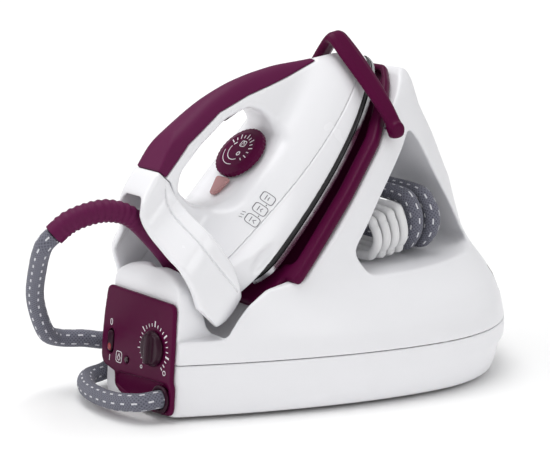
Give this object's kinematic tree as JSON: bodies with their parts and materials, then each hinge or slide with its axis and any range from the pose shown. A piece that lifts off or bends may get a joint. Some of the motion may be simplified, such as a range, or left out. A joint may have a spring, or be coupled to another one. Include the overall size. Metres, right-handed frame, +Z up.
{
  "type": "steam generator iron",
  "caption": "Pressing iron parked nose-up on a white steam base with a plum rest, lock hoop, control panel, woven steam hose and a cord store under the rest.",
  "frame": {"origin": "on the base's lower rim plane, under the middle of the base between its left and right sides", "axes": "+Z up; -Y towards the control panel and the iron's heel, +Y towards the rear water tank; +X to the right seen from the panel"},
  "size_m": [0.25, 0.4125, 0.2776],
  "materials": {
    "base_white": "satin moulded ABS",
    "iron_white": "glossy moulded",
    "pale_grey": "fine matte",
    "plum": "satin",
    "plum_grip": "soft-touch",
    "plum_dark": "glossy",
    "black_plastic": "fine grain",
    "sole_steel": "polished stainless",
    "screw_steel": "zinc plated",
    "boiler_steel": "drawn stainless",
    "cast_aluminium": "as cast",
    "brass": "machined",
    "rubber": "matte",
    "hose_weave": "woven grey sleeve with white dashes",
    "cord_white": "matte flexible PVC",
    "natural_plastic": "unpainted nylon",
    "tube_silicone": "translucent silicone",
    "board_green": "solder mask",
    "lens_red": "tinted clear plastic",
    "lamp_rose": "tinted translucent plastic"
  },
  "bodies": {
    "base": {"base_tray": "base_white", "bottom_cover": "pale_grey", "rubber_feet": "rubber", "housing_screws": "screw_steel", "base_housing": "base_white", "control_panel": "plum", "indicator_lens": "lens_red", "hose_grommet": "plum_dark", "iron_rest": "plum", "rest_pads": "rubber", "hoop_pins": "screw_steel", "boiler_lower": "boiler_steel", "boiler_upper": "boiler_steel", "boiler_element": "screw_steel", "boiler_thermostat": "natural_plastic", "boiler_gasket": "rubber", "water_pump": "natural_plastic", "water_tubes": "tube_silicone", "steam_valve": "brass", "steam_pipe": "tube_silicone", "circuit_board": "board_green", "steam_hose": "hose_weave", "power_cord": "cord_white", "cord_grommet": "rubber", "cord_plug": "cord_white", "plug_pins": "screw_steel"},
    "knob": {"steam_knob": "plum_dark"},
    "switch": {"power_switch": "plum_dark"},
    "hoop": {"lock_hoop": "plum"},
    "tank": {"water_tank": "pale_grey", "tank_valve": "rubber"},
    "flap": {"tank_lid": "base_white"},
    "iron": {"soleplate": "sole_steel", "sole_element": "cast_aluminium", "heat_shield": "black_plastic", "chamber_cover": "cast_aluminium", "iron_skirt": "iron_white", "iron_body": "iron_white", "grip_insert": "plum_grip", "heel_cover": "iron_white", "heel_panel": "pale_grey", "iron_thermostat": "screw_steel", "dial_lamp": "lamp_rose", "trigger_switch": "black_plastic", "hose_boot": "plum_grip", "boot_socket": "iron_white", "inner_steam_tube": "tube_silicone"},
    "dial": {"fabric_dial": "plum", "dial_spindle": "natural_plastic"},
    "trigger": {"steam_trigger": "plum_dark"}
  },
  "joints": [
    {"name": "iron_lift", "type": "slide", "parent": "base", "child": "iron", "axis": [0, -0.7071, 0.7071], "range_m": [0, 0.022], "deforming": ["steam_hose"]},
    {"name": "lock_hoop_swing", "type": "hinge", "parent": "base", "child": "hoop", "pos_m": [0, 0.03, 0.2055], "axis": [-1, 0, 0], "range_deg": [0, 37.5]},
    {"name": "steam_knob_turn", "type": "hinge", "parent": "base", "child": "knob", "pos_m": [0.021, -0.17698, 0.05274], "axis": [0, -0.9945, 0.1045], "range_deg": [-135, 135]},
    {"name": "power_switch_rock", "type": "hinge", "parent": "base", "child": "switch", "pos_m": [-0.038, -0.17324, 0.0453], "axis": [1, 0, 0], "range_deg": [-8, 8]},
    {"name": "tank_slide", "type": "slide", "parent": "base", "child": "tank", "axis": [0, 1, 0], "range_m": [0, 0.12]},
    {"name": "tank_flap", "type": "hinge", "parent": "tank", "child": "flap", "pos_m": [0, 0.1562, 0.058], "axis": [-1, 0, 0], "range_deg": [0, 85]},
    {"name": "dial_turn", "type": "hinge", "parent": "iron", "child": "dial", "pos_m": [0, -0.07616, 0.18798], "axis": [0, -0.7071, 0.7071], "range_deg": [-140, 140]},
    {"name": "trigger_squeeze", "type": "hinge", "parent": "iron", "child": "trigger", "pos_m": [0, -0.07906, 0.23119], "axis": [-1, 0, 0], "range_deg": [0, 6]}
  ],
  "couplings": [
    {"joint": "lock_hoop_swing", "follows": "iron_lift", "rad_per_m": 29.671}
  ]
}
